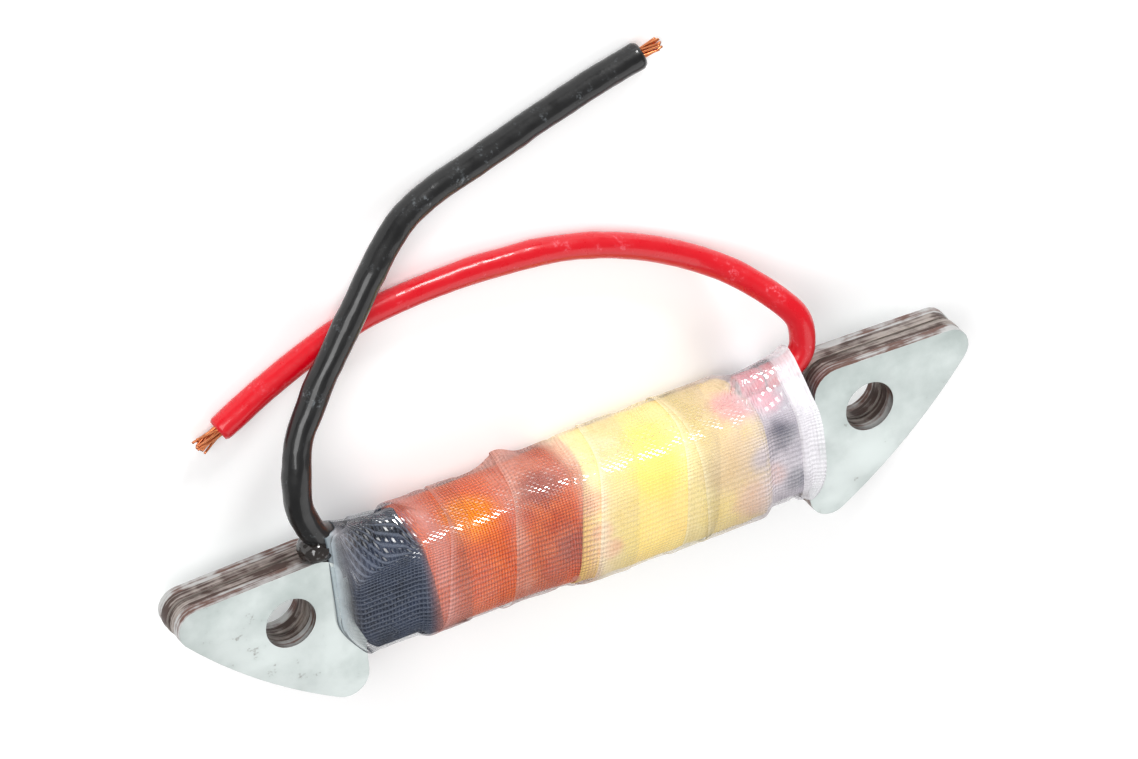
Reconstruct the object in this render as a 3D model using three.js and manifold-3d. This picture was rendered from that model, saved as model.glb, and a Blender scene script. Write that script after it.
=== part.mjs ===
// Ignition source coil of a small two-stroke engine: a stack of four steel plates with two
// screw ears, wound with enamelled copper wire, wrapped in woven tape, with two leads.
//
// Millimetres.  +X runs along the core, +Y towards the straight edges and the leads,
// +Z out of the front plate.  Pieces are drawn about the middle of the stack, halfway between
// the two screw holes, and the last lines stand the coil on its flat underside.

import * as THREE from 'three';
import { mergeVertices } from 'three/addons/utils/BufferGeometryUtils.js';
import Module from 'manifold-3d';

const wasm = await Module();
wasm.setup();

const { clamp, lerp, smoothstep } = THREE.MathUtils;

// ---------------------------------------------------------------- driving dimensions

// Core plates
const plateCount = 4;
const plateThickness = 1.15;
const plateGap = 0.05;
const holeSpacing = 60;
const holeDiameter = 5;
const poleCentreY = 36.96;      // crankshaft centre, seen from the line of the holes
const poleMargin = 6;           // from a hole's centre to the face that the flywheel magnets pass
const topEdgeDroop = 0.028;     // fall of the straight edge towards the tips
const tipFillet = 2;
const hookInset = 7;            // from a hole's centre in to the hook's inner edge
const hookFillet = 2.2;
const shoulderStep = 1.4;       // from the hook's inner edge out to the shoulder
const shoulderFillet = 2.5;
const neckHalfWidth = 3.5;
const neckCentreY = -0.8;
const neckFillet = 1;

// Winding and what lies round it: each build is a thickness measured outwards from one flat
const flatInsetY = 1.1;          // each flat is that much narrower than the neck
const flatInsetZ = 0.775;
const thinBuild = 3.2;          // start half of the winding
const fullBuild = 3.75;         // finish half of the winding
const windingEdge = 0.8;        // rounding of the winding's two ends
const sleeveWall = 0.3;
const sleeveEndGap = 0.5;        // between the sleeve's ends and the hooks
const collarLength = 5.5;
const collarEndGap = 0.3;       // between the collars and the hooks
const leftCollarBuild = 2.75;
const rightCollarBuild = 3.2;
const coverTapeStart = -0.9;
const coverTapeWall = 0.25;
const outerTapeWall = 0.3;
const outerTapeLeftLap = 1.4;    // how far the tape runs on past its slope, on the left ear
const tapeDropLength = 1.5;     // from the winding down to a collar
const tapeSlope = 1.5;          // beyond the collars the tape slopes down to the plates
const cuffLap = 0.9;             // how far the cuff starts before the right collar's end
const cuffWall = 0.3;
const cuffFlare = 0.5;
const fitGap = 0.1;             // between neighbouring layers
const cutGap = 0.15;            // round anything let into another piece

// Leads
const blackLeadDiameter = 2.6;
const redLeadDiameter = 2.45;
const conductorDiameter = 1.1;
const conductorLength = 2.1;
const leadSides = 8;
const leadJointGap = 0.3;
const solderLength = 2.6;
const solderDiameter = 1.7;
const jointSleeveWall = 0.25;
const jointSleeveLength = 2.4;
const tailDiameter = 0.5;
const tailLength = 0.25;
const bulgeFade = 2;            // how soon the tape settles back on the wire beyond a joint
const ringPoints = 40;

// ---------------------------------------------------------------- sizes that follow

const stackHalf = (plateCount * plateThickness + (plateCount - 1) * plateGap) / 2;
const holeX = holeSpacing / 2;
const poleRadius = Math.hypot(holeX, poleCentreY) + poleMargin;
const neckTopY = neckCentreY + neckHalfWidth;
const topEdgeY = neckTopY + shoulderFillet;   // straight edge, level with the hole centres
const hookInnerX = holeX - hookInset;
const shoulderX = hookInnerX + shoulderStep;

const flatHalfY = neckHalfWidth - flatInsetY;
const flatHalfZ = stackHalf - flatInsetZ;
const sleeveHalfLength = hookInnerX - sleeveEndGap;
const sleeveInnerY = neckHalfWidth + fitGap;
const sleeveInnerZ = stackHalf + fitGap;
const sleeveOuterY = sleeveInnerY + sleeveWall;
const sleeveOuterZ = sleeveInnerZ + sleeveWall;
const collarEnd = hookInnerX - collarEndGap;
const collarStart = collarEnd - collarLength;
const windingHalfLength = collarStart - fitGap;
const slopeEnd = collarEnd + tapeSlope;

// from the winding outwards: wire tail, solder joint, lead
const solderInnerX = windingHalfLength + fitGap + tailLength + cutGap;
const solderOuterX = solderInnerX + solderLength;
const heldLeadX = solderOuterX + leadJointGap;
const leadBedY = neckCentreY + sleeveOuterY + cutGap;

// ---------------------------------------------------------------- small tools

function toManifold(geometry) {
  const bare = geometry.clone();
  bare.deleteAttribute('normal');
  bare.deleteAttribute('uv');
  const merged = mergeVertices(bare, 1e-5);
  const mesh = new wasm.Mesh({
    numProp: 3,
    vertProperties: new Float32Array(merged.attributes.position.array),
    triVerts: new Uint32Array(merged.index.array),
  });
  return new wasm.Manifold(mesh);
}

function toGeometry(solid) {
  const mesh = solid.getMesh();
  const geometry = new THREE.BufferGeometry();
  geometry.setAttribute('position', new THREE.BufferAttribute(mesh.vertProperties, 3));
  geometry.setIndex(new THREE.BufferAttribute(mesh.triVerts, 1));
  geometry.computeVertexNormals();
  return geometry;
}

function cut(geometry, ...cutters) {
  const left = cutters.reduce((body, cutter) => body.subtract(toManifold(cutter)), toManifold(geometry));
  return toGeometry(left);
}

function arc(centreX, centreY, radius, fromAngle, toAngle, steps) {
  return Array.from({ length: steps + 1 }, (_, i) => {
    const angle = fromAngle + ((toAngle - fromAngle) * i) / steps;
    return new THREE.Vector2(centreX + radius * Math.cos(angle), centreY + radius * Math.sin(angle));
  });
}

// ---------------------------------------------------------------- core plates

// The right half of a plate's outline, from under the neck round the ear to the neck's top.
// grow moves every edge outwards, for the room that a neighbour leaves.
function halfOutline(grow) {
  const neckBottom = neckCentreY - neckHalfWidth - grow;
  const neckTop = neckTopY + grow;
  const innerFillet = neckFillet - grow;
  const innerX = hookInnerX - grow - innerFillet;

  const hookX = hookInnerX + hookFillet;
  const hookY = poleCentreY - Math.sqrt((poleRadius - hookFillet) ** 2 - hookX ** 2);
  const hookAngle = Math.atan2(hookY - poleCentreY, hookX);

  // the tip fillet touches the pole face and the drooping straight edge
  const tipLineY = topEdgeY + topEdgeDroop * holeX - tipFillet;
  const a = 1 + topEdgeDroop ** 2;
  const b = -2 * topEdgeDroop * (tipLineY - poleCentreY);
  const c = (tipLineY - poleCentreY) ** 2 - (poleRadius - tipFillet) ** 2;
  const tipX = (-b + Math.sqrt(b * b - 4 * a * c)) / (2 * a);
  const tipY = tipLineY - topEdgeDroop * tipX;
  const tipAngle = Math.atan2(tipY - poleCentreY, tipX);
  const straightAngle = Math.PI / 2 - Math.atan(topEdgeDroop);

  const shoulderCentreX = shoulderX + shoulderFillet;
  const shoulderCentreY = topEdgeY + topEdgeDroop * (holeX - shoulderCentreX) - shoulderFillet;
  const shoulderRadius = shoulderFillet + grow;
  const shoulderFoot = Math.PI - Math.asin(Math.min(1, (neckTop - shoulderCentreY) / shoulderRadius));

  return [
    ...arc(innerX, neckBottom - innerFillet, innerFillet, Math.PI / 2, 0, 4),
    ...arc(hookX, hookY, hookFillet + grow, Math.PI, 2 * Math.PI + hookAngle, 8),
    ...arc(0, poleCentreY, poleRadius + grow, hookAngle, tipAngle, 12).slice(1),
    ...arc(tipX, tipY, tipFillet + grow, tipAngle, straightAngle, 8).slice(1),
    ...arc(shoulderCentreX, shoulderCentreY, shoulderRadius, straightAngle, shoulderFoot, 6),
  ];
}

function plateShape(grow = 0) {
  const right = halfOutline(grow);
  const left = right.map((p) => new THREE.Vector2(-p.x, p.y)).reverse();
  return new THREE.Shape([...right, ...left]);
}

function corePlate(index) {
  const shape = plateShape();
  for (const side of [-1, 1]) {
    const hole = new THREE.Path();
    hole.absarc(side * holeX, 0, holeDiameter / 2, 0, 2 * Math.PI, true);
    shape.holes.push(hole);
  }
  const plate = new THREE.ExtrudeGeometry(shape, {
    depth: plateThickness, bevelEnabled: false, curveSegments: 28,
  });
  plate.translate(0, 0, -stackHalf + index * (plateThickness + plateGap));
  return plate;
}

// Room for the whole stack, cut out of whatever reaches over the ears
function stackRoom() {
  const room = new THREE.ExtrudeGeometry(plateShape(cutGap), {
    depth: 2 * (stackHalf + cutGap), bevelEnabled: false,
  });
  room.translate(0, 0, -stackHalf - cutGap);
  return room;
}

// ---------------------------------------------------------------- leads

function leadCurve(points) {
  return new THREE.CatmullRomCurve3(points.map((p) => new THREE.Vector3(...p)), false, 'centripetal');
}

function tube(curve, diameter, steps) {
  const section = new THREE.Shape(arc(0, 0, diameter / 2, 0, 2 * Math.PI, leadSides).slice(0, -1));
  return new THREE.ExtrudeGeometry(section, { steps, extrudePath: curve, bevelEnabled: false });
}

// Each lead leaves its solder joint under the tape, comes out at the coil's end and turns to +Y
const blackBedY = leadBedY + blackLeadDiameter / 2 + 0.5;
const redBedY = leadBedY + redLeadDiameter / 2 + 1;
const blackOverEarY = topEdgeY + blackLeadDiameter / 2;
const redOverEarY = topEdgeY + redLeadDiameter / 2;
const blackHeldCurve = leadCurve([
  [-heldLeadX, blackBedY, 0],
  [-hookInnerX + 0.7, blackBedY + 0.4, 0.2],
  [-hookInnerX - 1.3, blackOverEarY - 0.4, 0.5],
  [-hookInnerX - 2.9, blackOverEarY + 0.8, 0.8],
  [-hookInnerX - 3.75, topEdgeY + 4, 0.8],
]);
const redHeldCurve = leadCurve([
  [heldLeadX, redBedY, 0],
  [hookInnerX - 0.8, redBedY + 0.2, 0],
  [hookInnerX + 0.8, redOverEarY - 0.35, 0],
  [hookInnerX + 1.75, redOverEarY + 0.95, 0],
  [hookInnerX + 1.95, topEdgeY + 4, -0.1],
]);
const blackFreeCurve = leadCurve([
  [-26.9, 9.7, 0.8], [-27.1, 11, 0.7], [-27, 12.5, 0.6], [-26.7, 14.4, 0.4], [-25.9, 16.7, -0.2],
  [-24.4, 18.9, -0.8],
  [-22.5, 21.3, -1.4], [-20.5, 23.8, -1.7], [-18.4, 26.5, -2], [-16.3, 29, -2.5], [-14, 31.3, -3.2],
  [-11.3, 33.1, -4], [-8, 34.3, -4.6], [-4.4, 35.3, -4.75], [-0.6, 36.5, -4.75], [3.3, 37.8, -4.75],
  [8.5, 39.3, -4.75], [13.7, 40.6, -4.75],
]);
const redFreeCurve = leadCurve([
  [24.9, 9.7, -0.15], [24.6, 10.8, -0.4], [23.7, 12.1, -1], [22.1, 13.8, -2.2], [20, 15.6, -3.5],
  [17.2, 17.5, -4.5],
  [12.7, 20.2, -4.8], [7.8, 22.4, -4.8], [2.8, 23.8, -4.8], [-2.2, 24.4, -4.8], [-7.3, 24.6, -4.8],
  [-12.4, 24.4, -4.8], [-16.5, 23.9, -4.8], [-20.6, 22.7, -4.8], [-24.6, 21.1, -4.8],
  [-28.2, 19.4, -4.8], [-31.6, 17.6, -4.8],
]);

// The stripped end carries on in line with the lead
function bareEnd(curve) {
  const end = curve.getPoint(1);
  const direction = curve.getTangent(1);
  const from = end.clone().addScaledVector(direction, leadJointGap);
  const to = end.clone().addScaledVector(direction, leadJointGap + conductorLength);
  return tube(new THREE.LineCurve3(from, to), conductorDiameter, 1);
}

// ---------------------------------------------------------------- wrapped layers

// Where a held lead passes under the tape: its centre in the plane at x
function heldLeadAt(x) {
  const curve = x < 0 ? blackHeldCurve : redHeldCurve;
  const radius = (x < 0 ? blackLeadDiameter : redLeadDiameter) / 2;
  const inner = Math.abs(curve.getPoint(0).x);
  const along = clamp((Math.abs(x) - inner) / (slopeEnd - inner), 0, 1);
  const centre = curve.getPoint(along * 0.62);
  const bulge = smoothstep(Math.abs(x), windingHalfLength - bulgeFade, windingHalfLength);
  return { y: centre.y, z: centre.z, radius: radius * bulge, present: bulge > 0 };
}

// One ring of a layer: the flat-sided section grown by the layer's builds, drawn tight round
// the held lead where there is one
function wrapRing(x, build, underBuild, lead) {
  return Array.from({ length: ringPoints }, (_, i) => {
    const angle = ((i + 0.5) / ringPoints) * 2 * Math.PI;
    const across = Math.cos(angle);
    const up = Math.sin(angle);
    const buildZ = up < 0 ? underBuild : build;
    let y = neckCentreY + Math.sign(across) * flatHalfY + build * across;
    let z = Math.sign(up) * flatHalfZ + buildZ * up;
    if (lead) {
      const leadY = lead.y + lead.radius * across;
      const leadZ = lead.z + lead.radius * up;
      if (leadY * across + leadZ * up > y * across + z * up) {
        y = leadY;
        z = leadZ;
      }
    }
    return [x, y, z];
  });
}

// A closed tube between an outer and an inner ring at each station along X
function layer(stations, outerRing, innerRing) {
  const rings = [...stations.map(outerRing), ...stations.map(innerRing).reverse()];
  const positions = rings.flat(2);
  const index = [];
  for (let r = 0; r < rings.length; r += 1) {
    const next = (r + 1) % rings.length;
    for (let i = 0; i < ringPoints; i += 1) {
      const j = (i + 1) % ringPoints;
      const here = r * ringPoints;
      const there = next * ringPoints;
      index.push(here + i, here + j, there + j, here + i, there + j, there + i);
    }
  }
  const geometry = new THREE.BufferGeometry();
  geometry.setAttribute('position', new THREE.Float32BufferAttribute(positions, 3));
  geometry.setIndex(index);
  geometry.computeVertexNormals();
  return geometry;
}

function boxRing(x, halfY, halfZ) {
  return Array.from({ length: ringPoints }, (_, i) => {
    const angle = ((i + 0.5) / ringPoints) * 2 * Math.PI;
    const corner = 0.25;
    return [
      x,
      neckCentreY + Math.sign(Math.cos(angle)) * (halfY - corner) + corner * Math.cos(angle),
      Math.sign(Math.sin(angle)) * (halfZ - corner) + corner * Math.sin(angle),
    ];
  });
}

function coreSleeve() {
  return layer(
    [-sleeveHalfLength, sleeveHalfLength],
    (x) => boxRing(x, sleeveOuterY, sleeveOuterZ),
    (x) => boxRing(x, sleeveInnerY, sleeveInnerZ),
  );
}

// Thickness of the wire at x: thin at the start half, full under the cover tape
function windingBuild(x) {
  const body = lerp(thinBuild, fullBuild, smoothstep(x, -8, 3));
  const toEnd = windingHalfLength - Math.abs(x);
  return body - windingEdge * (1 - smoothstep(toEnd, 0, windingEdge));
}

// Below, the wire is pressed level, so that the coil lies flat
function windingUnderBuild(x) {
  const toEnd = windingHalfLength - Math.abs(x);
  return fullBuild - windingEdge * (1 - smoothstep(toEnd, 0, windingEdge));
}

function winding() {
  const e = windingHalfLength;
  const stations = [-e, -e + windingEdge / 2, -e + windingEdge, -8, -5, -2, 0, 3, e - windingEdge,
    e - windingEdge / 2, e];
  return layer(
    stations,
    (x) => wrapRing(x, windingBuild(x), windingUnderBuild(x)),
    (x) => boxRing(x, sleeveOuterY + fitGap, sleeveOuterZ + fitGap),
  );
}

// Insulation that fills the core between the winding and the ear at each end
function collarBuild(x) {
  const full = x < 0 ? leftCollarBuild : rightCollarBuild;
  return full * (1 - 0.45 * smoothstep(Math.abs(x), collarEnd, slopeEnd));
}

function endCollar(side, heldCurve, leadDiameter, jointRoom) {
  const stations = [side * collarStart, side * collarEnd];
  if (side < 0) stations.reverse();
  const body = layer(
    stations,
    (x) => wrapRing(x, collarBuild(x), collarBuild(x)),
    (x) => boxRing(x, sleeveOuterY + fitGap, sleeveOuterZ + fitGap),
  );
  return cut(body, tube(heldCurve, leadDiameter + 2 * cutGap, 14), jointRoom);
}

function coverTapeBuild(x) {
  return windingBuild(x) + fitGap;
}

function coverTape() {
  const e = windingHalfLength;
  const stations = [coverTapeStart, 3, e - windingEdge, e - windingEdge / 2, e];
  return layer(
    stations,
    (x) => wrapRing(x, coverTapeBuild(x) + coverTapeWall, windingUnderBuild(x) + fitGap + coverTapeWall),
    (x) => wrapRing(x, coverTapeBuild(x), windingUnderBuild(x) + fitGap),
  );
}

// How far the tape has come down from the winding towards the collar at x
function dropToCollar(x) {
  return smoothstep(Math.abs(x), windingHalfLength, windingHalfLength + tapeDropLength);
}

// Inner face of the outer tape: drawn over the cover tape, the wire and both collars
function underOuterTape(x) {
  const overWire = windingBuild(Math.sign(x) * Math.min(Math.abs(x), windingHalfLength - windingEdge));
  const overCover = coverTapeWall + fitGap;
  const middle = overWire + overCover * smoothstep(x, coverTapeStart - 1.5, coverTapeStart);
  return lerp(middle, collarBuild(x), dropToCollar(x)) + fitGap;
}

function underOuterTapeBelow(x) {
  const level = fullBuild + fitGap + coverTapeWall;
  return lerp(level, collarBuild(x), dropToCollar(x)) + fitGap;
}

function grownLead(x, grow) {
  const lead = heldLeadAt(x);
  return lead.present ? { ...lead, radius: lead.radius + grow } : null;
}

function outerTape() {
  const wireEnd = [0, 0.8, 1.6, 3.3].map((step) => windingHalfLength + step);
  const ends = [...wireEnd, collarEnd, (collarEnd + slopeEnd) / 2, slopeEnd];
  const middle = [-14, -8, -5, coverTapeStart - 1.5, coverTapeStart, 3, 8, 14];
  const stations = [-slopeEnd - outerTapeLeftLap, ...ends.map((x) => -x).reverse(), ...middle, ...ends];
  const body = layer(
    stations,
    (x) => wrapRing(x, underOuterTape(x) + outerTapeWall, underOuterTapeBelow(x) + outerTapeWall,
      grownLead(x, cutGap + outerTapeWall)),
    (x) => wrapRing(x, underOuterTape(x), underOuterTapeBelow(x), grownLead(x, cutGap)),
  );
  const leadRoom = [
    tube(blackHeldCurve, blackLeadDiameter + 2 * cutGap, 14),
    tube(redHeldCurve, redLeadDiameter + 2 * cutGap, 14),
  ];
  return cut(body, stackRoom(), ...leadRoom);
}

// The last turn at the finish end stands proud as a flared cuff
function tapeCuff() {
  const start = collarEnd - cuffLap;
  const flareAt = (x) => cuffFlare * smoothstep(x, start, slopeEnd);
  const overTape = outerTapeWall + fitGap;
  const inside = (x) => underOuterTape(x) + overTape + flareAt(x);
  const lead = (x, grow) => grownLead(x, cutGap + overTape + grow);
  const body = layer(
    [start, collarEnd, (collarEnd + slopeEnd) / 2, slopeEnd],
    (x) => wrapRing(x, inside(x) + cuffWall, inside(x) + cuffWall, lead(x, cuffWall)),
    (x) => wrapRing(x, inside(x), inside(x), lead(x, 0)),
  );
  return cut(body, stackRoom(), tube(redHeldCurve, redLeadDiameter + 2 * cutGap, 14));
}

// ---------------------------------------------------------------- joints under the tape

function alongX(fromX, toX, y, z) {
  return new THREE.LineCurve3(new THREE.Vector3(fromX, y, z), new THREE.Vector3(toX, y, z));
}

// Solder joint, its sleeve and the wire's tail, in line between a held lead and the winding
function jointPieces(side, heldCurve) {
  const start = heldCurve.getPoint(0);
  const tailInnerX = windingHalfLength + fitGap;
  const solder = new THREE.SphereGeometry(0.5, 16, 10);
  solder.scale(solderLength, solderDiameter, solderDiameter);
  solder.translate((side * (solderOuterX + solderInnerX)) / 2, start.y, start.z);

  const sleeveMiddle = (solderOuterX + solderInnerX) / 2;
  const sleeveFrom = side * (sleeveMiddle - jointSleeveLength / 2);
  const sleeveTo = side * (sleeveMiddle + jointSleeveLength / 2);
  const bore = solderDiameter + 2 * cutGap;
  const sleeveDiameter = bore + 2 * jointSleeveWall;
  const boreCurve = alongX(sleeveFrom - side, sleeveTo + side, start.y, start.z);
  const sleeve = cut(
    tube(alongX(sleeveFrom, sleeveTo, start.y, start.z), sleeveDiameter, 1),
    tube(boreCurve, bore, 1),
  );
  const tailCurve = alongX(side * tailInnerX, side * (tailInnerX + tailLength), start.y, start.z);
  const roomCurve = alongX(side * (tailInnerX - 1), side * (heldLeadX + 0.5), start.y, start.z);
  return {
    solder,
    sleeve,
    tail: tube(tailCurve, tailDiameter, 1),
    room: tube(roomCurve, sleeveDiameter + 2 * cutGap, 1),
  };
}

// Set varnish round the root of the black lead, on the plates' top edge
function varnishBead() {
  const bead = new THREE.SphereGeometry(1, 20, 14);
  bead.scale(1.5, 1.9, 2.1);
  bead.translate(-hookInnerX - 3.7, topEdgeY + 1.7, 0.7);
  return cut(bead, stackRoom(), tube(blackHeldCurve, blackLeadDiameter + 2 * cutGap, 14), outerTapeRoom());
}

function outerTapeRoom() {
  const stations = [-slopeEnd - outerTapeLeftLap - cutGap, -slopeEnd, -collarEnd + 0.7];
  return layer(
    stations,
    (x) => wrapRing(x, underOuterTape(x) + outerTapeWall + cutGap, underOuterTapeBelow(x),
      grownLead(x, 2 * cutGap + outerTapeWall)),
    (x) => boxRing(x, 0.5, 0.5),
  );
}

// ---------------------------------------------------------------- materials

function finish(color, roughness, metalness) {
  return new THREE.MeshStandardMaterial({ color, roughness, metalness });
}

const zinc = () => finish('#c9d1d1', 0.35, 0.9);
const bareSteel = () => finish('#8a7f78', 0.5, 0.8);
const darkPaper = () => finish('#3f4956', 0.7, 0);
const copperWire = () => finish('#c05a1e', 0.4, 0.6);
const yellowFilm = () => finish('#f0dc83', 0.45, 0);
const glassCloth = () => finish('#ded9d4', 0.4, 0);
const solderTin = () => finish('#b4b7ba', 0.35, 0.9);
const blackVinyl = () => finish('#15171a', 0.4, 0);
const redVinyl = () => finish('#cc1420', 0.35, 0);
const bareCopper = () => finish('#b5622f', 0.35, 0.95);
const varnish = () => finish('#2b211b', 0.15, 0);

// ---------------------------------------------------------------- assembly

const coil = new THREE.Group();

function add(name, geometry, material) {
  const mesh = new THREE.Mesh(geometry, material);
  mesh.name = name;
  coil.add(mesh);
}

const platesFromRear = ['rear', 'rear_inner', 'front_inner', 'front'];
platesFromRear.forEach((place, index) => {
  add(`${place}_core_plate`, corePlate(index), place.includes('inner') ? bareSteel() : zinc());
});

const blackJoint = jointPieces(-1, blackHeldCurve);
const redJoint = jointPieces(1, redHeldCurve);

add('core_insulation_sleeve', coreSleeve(), darkPaper());
add('left_end_collar', endCollar(-1, blackHeldCurve, blackLeadDiameter, blackJoint.room), darkPaper());
add('right_end_collar', endCollar(1, redHeldCurve, redLeadDiameter, redJoint.room), darkPaper());
add('winding', winding(), copperWire());
add('yellow_cover_tape', coverTape(), yellowFilm());
add('outer_glass_tape', outerTape(), glassCloth());
add('tape_cuff', tapeCuff(), glassCloth());

add('winding_start_tail', blackJoint.tail, copperWire());
add('black_lead_solder_joint', blackJoint.solder, solderTin());
add('black_joint_sleeve', blackJoint.sleeve, glassCloth());
add('winding_finish_tail', redJoint.tail, copperWire());
add('red_lead_solder_joint', redJoint.solder, solderTin());
add('red_joint_sleeve', redJoint.sleeve, glassCloth());

add('black_lead_held_end', tube(blackHeldCurve, blackLeadDiameter, 10), blackVinyl());
add('red_lead_held_end', tube(redHeldCurve, redLeadDiameter, 10), redVinyl());
add('black_lead_varnish_bead', varnishBead(), varnish());

add('black_lead', tube(blackFreeCurve, blackLeadDiameter, 32), blackVinyl());
add('black_lead_conductor', bareEnd(blackFreeCurve), bareCopper());
add('red_lead', tube(redFreeCurve, redLeadDiameter, 32), redVinyl());
add('red_lead_conductor', bareEnd(redFreeCurve), bareCopper());

// Stand the coil on the level underside of its tape, with the holes' midpoint over the origin
const tape = coil.getObjectByName('outer_glass_tape');
coil.position.z = -new THREE.Box3().setFromObject(tape).min.z;

export default coil;
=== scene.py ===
import bpy
import bmesh
import math
import numpy as np
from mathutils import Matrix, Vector, noise


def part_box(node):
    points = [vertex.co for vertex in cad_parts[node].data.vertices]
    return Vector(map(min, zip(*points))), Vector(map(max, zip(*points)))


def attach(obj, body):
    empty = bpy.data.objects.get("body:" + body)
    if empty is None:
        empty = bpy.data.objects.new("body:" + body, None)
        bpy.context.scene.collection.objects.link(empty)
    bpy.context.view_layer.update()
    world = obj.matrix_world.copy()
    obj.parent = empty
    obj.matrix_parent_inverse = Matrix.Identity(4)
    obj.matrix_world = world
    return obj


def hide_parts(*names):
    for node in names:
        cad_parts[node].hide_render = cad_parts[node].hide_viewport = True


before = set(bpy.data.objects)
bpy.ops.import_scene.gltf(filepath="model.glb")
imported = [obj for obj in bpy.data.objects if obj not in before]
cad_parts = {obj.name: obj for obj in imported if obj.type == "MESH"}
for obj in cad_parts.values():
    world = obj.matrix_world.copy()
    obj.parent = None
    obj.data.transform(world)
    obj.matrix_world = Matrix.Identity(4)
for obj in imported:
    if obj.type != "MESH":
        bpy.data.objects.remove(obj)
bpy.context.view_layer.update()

mm = 0.001
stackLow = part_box("rear_core_plate")[0].z
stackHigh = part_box("front_core_plate")[1].z
midZ = (stackLow + stackHigh) / 2         # middle of the plate stack; pieces are drawn about it
stackHalf = (stackHigh - stackLow) / 2 / mm
neckY = -0.8                              # middle of the neck, in mm


# small helpers

def toRow(points):
    # from millimetres about the middle of the stack to metres in the frame
    return np.asarray(points, float) * mm + np.array([0, 0, midZ])


def grain(size):
    # texture scale for features of this size in mm
    return 1 / (size * mm)


def hexColor(code):
    # sRGB hex to linear RGBA
    parts = [int(code[i:i + 2], 16) / 255 for i in (1, 3, 5)]
    return [c / 12.92 if c < 0.04045 else ((c + 0.055) / 1.055) ** 2.4 for c in parts] + [1]


def addNode(tree, kind, sockets=(), **settings):
    # kind may name the operation too, as in Math.ADD; sockets is a dictionary by name or a tuple in
    # the order shown on the node; each entry is a value, a socket, or a node for its first output
    kind, _, operation = kind.partition(".")
    node = tree.nodes.new(kind if "Node" in kind else "ShaderNode" + kind)
    if operation:
        node.operation = operation
    for key, value in settings.items():
        setattr(node, key, value)
    if isinstance(sockets, dict):
        pairs = [(node.inputs[name], source) for name, source in sockets.items()]
    else:
        pairs = zip([s for s in node.inputs if not s.is_unavailable], sockets)
    for socket, source in pairs:
        if isinstance(source, bpy.types.Node):
            source = next(s for s in source.outputs if not s.is_unavailable)
        if isinstance(source, bpy.types.NodeSocket):
            tree.links.new(source, socket)
        else:
            socket.default_value = source
    return node


def newMaterial(name):
    material = bpy.data.materials.new(name)
    material.use_nodes = True
    tree = material.node_tree
    tree.nodes.clear()
    return material, tree, addNode(tree, "TexCoord").outputs["Object"]


def smooth(value, low, high):
    t = np.clip((np.asarray(value, float) - low) / (high - low), 0, 1)
    return t * t * (3 - 2 * t)


def linkObject(name, data):
    made = bpy.data.objects.new(name, data)
    bpy.context.scene.collection.objects.link(made)
    return made


def meshObject(name, points, faces, uv=None):
    mesh = bpy.data.meshes.new(name)
    mesh.from_pydata([tuple(p) for p in points], [], faces)
    if uv is not None:
        layer = mesh.uv_layers.new(name="surface")
        index = np.zeros(len(mesh.loops), int)
        mesh.loops.foreach_get("vertex_index", index)
        layer.data.foreach_set("uv", np.asarray(uv, float)[index].ravel())
    mesh.shade_smooth()
    mesh.update()
    return linkObject(name, mesh)


def objectFromWork(name, work):
    # a finished bmesh as a smooth object
    mesh = bpy.data.meshes.new(name)
    work.to_mesh(mesh)
    work.free()
    mesh.shade_smooth()
    return linkObject(name, mesh)


def setPointValue(obj, name, values):
    layer = obj.data.attributes.new(name, "FLOAT", "POINT")
    layer.data.foreach_set("value", np.asarray(values, float).ravel())


def faceOutwards(obj):
    work = bmesh.new()
    work.from_mesh(obj.data)
    bmesh.ops.recalc_face_normals(work, faces=work.faces)
    work.to_mesh(obj.data)
    work.free()
    obj.data.update()


def tubeFaces(count, around, closedLoop=False, base=0):
    # faces over rings of points, with a flat cap at each end unless the last ring meets the first
    faces = []
    for r in range(count if closedLoop else count - 1):
        here, there = base + r * around, base + ((r + 1) % count) * around
        for i in range(around):
            j = (i + 1) % around
            faces.append((here + i, here + j, there + j, there + i))
    if not closedLoop:
        faces.append(tuple(base + i for i in reversed(range(around))))
        faces.append(tuple(base + (count - 1) * around + i for i in range(around)))
    return faces


def tubeMesh(name, rings, uv=None, closedLoop=False):
    obj = meshObject(name, rings.reshape(-1, 3), tubeFaces(*rings.shape[:2], closedLoop), uv)
    faceOutwards(obj)
    return obj


def finishPiece(obj, material, slot, *stands):
    if material:
        obj.data.materials.clear()
        obj.data.materials.append(material)
    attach(obj, "root")
    if stands:
        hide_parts(*stands)
    return obj


# camera

camera = {
    "place": (-0.24919, 0.40897, 0.55984),
    "turn": (-30.4502, -27.6688, -6.0186),
    "lens": 253.0756,
    "sensor": 36,
    "reach": 20,
}
cameraData = bpy.data.cameras.new("camera")
cameraData.lens = camera["lens"]
cameraData.sensor_width = camera["sensor"]
cameraData.clip_end = camera["reach"]
cameraObject = linkObject("camera", cameraData)
cameraObject.location = camera["place"]
cameraObject.rotation_euler = [math.radians(a) for a in camera["turn"]]
bpy.context.scene.camera = cameraObject
print("camera ready")


# leads: routes in mm about the middle of the stack, held end first

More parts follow.
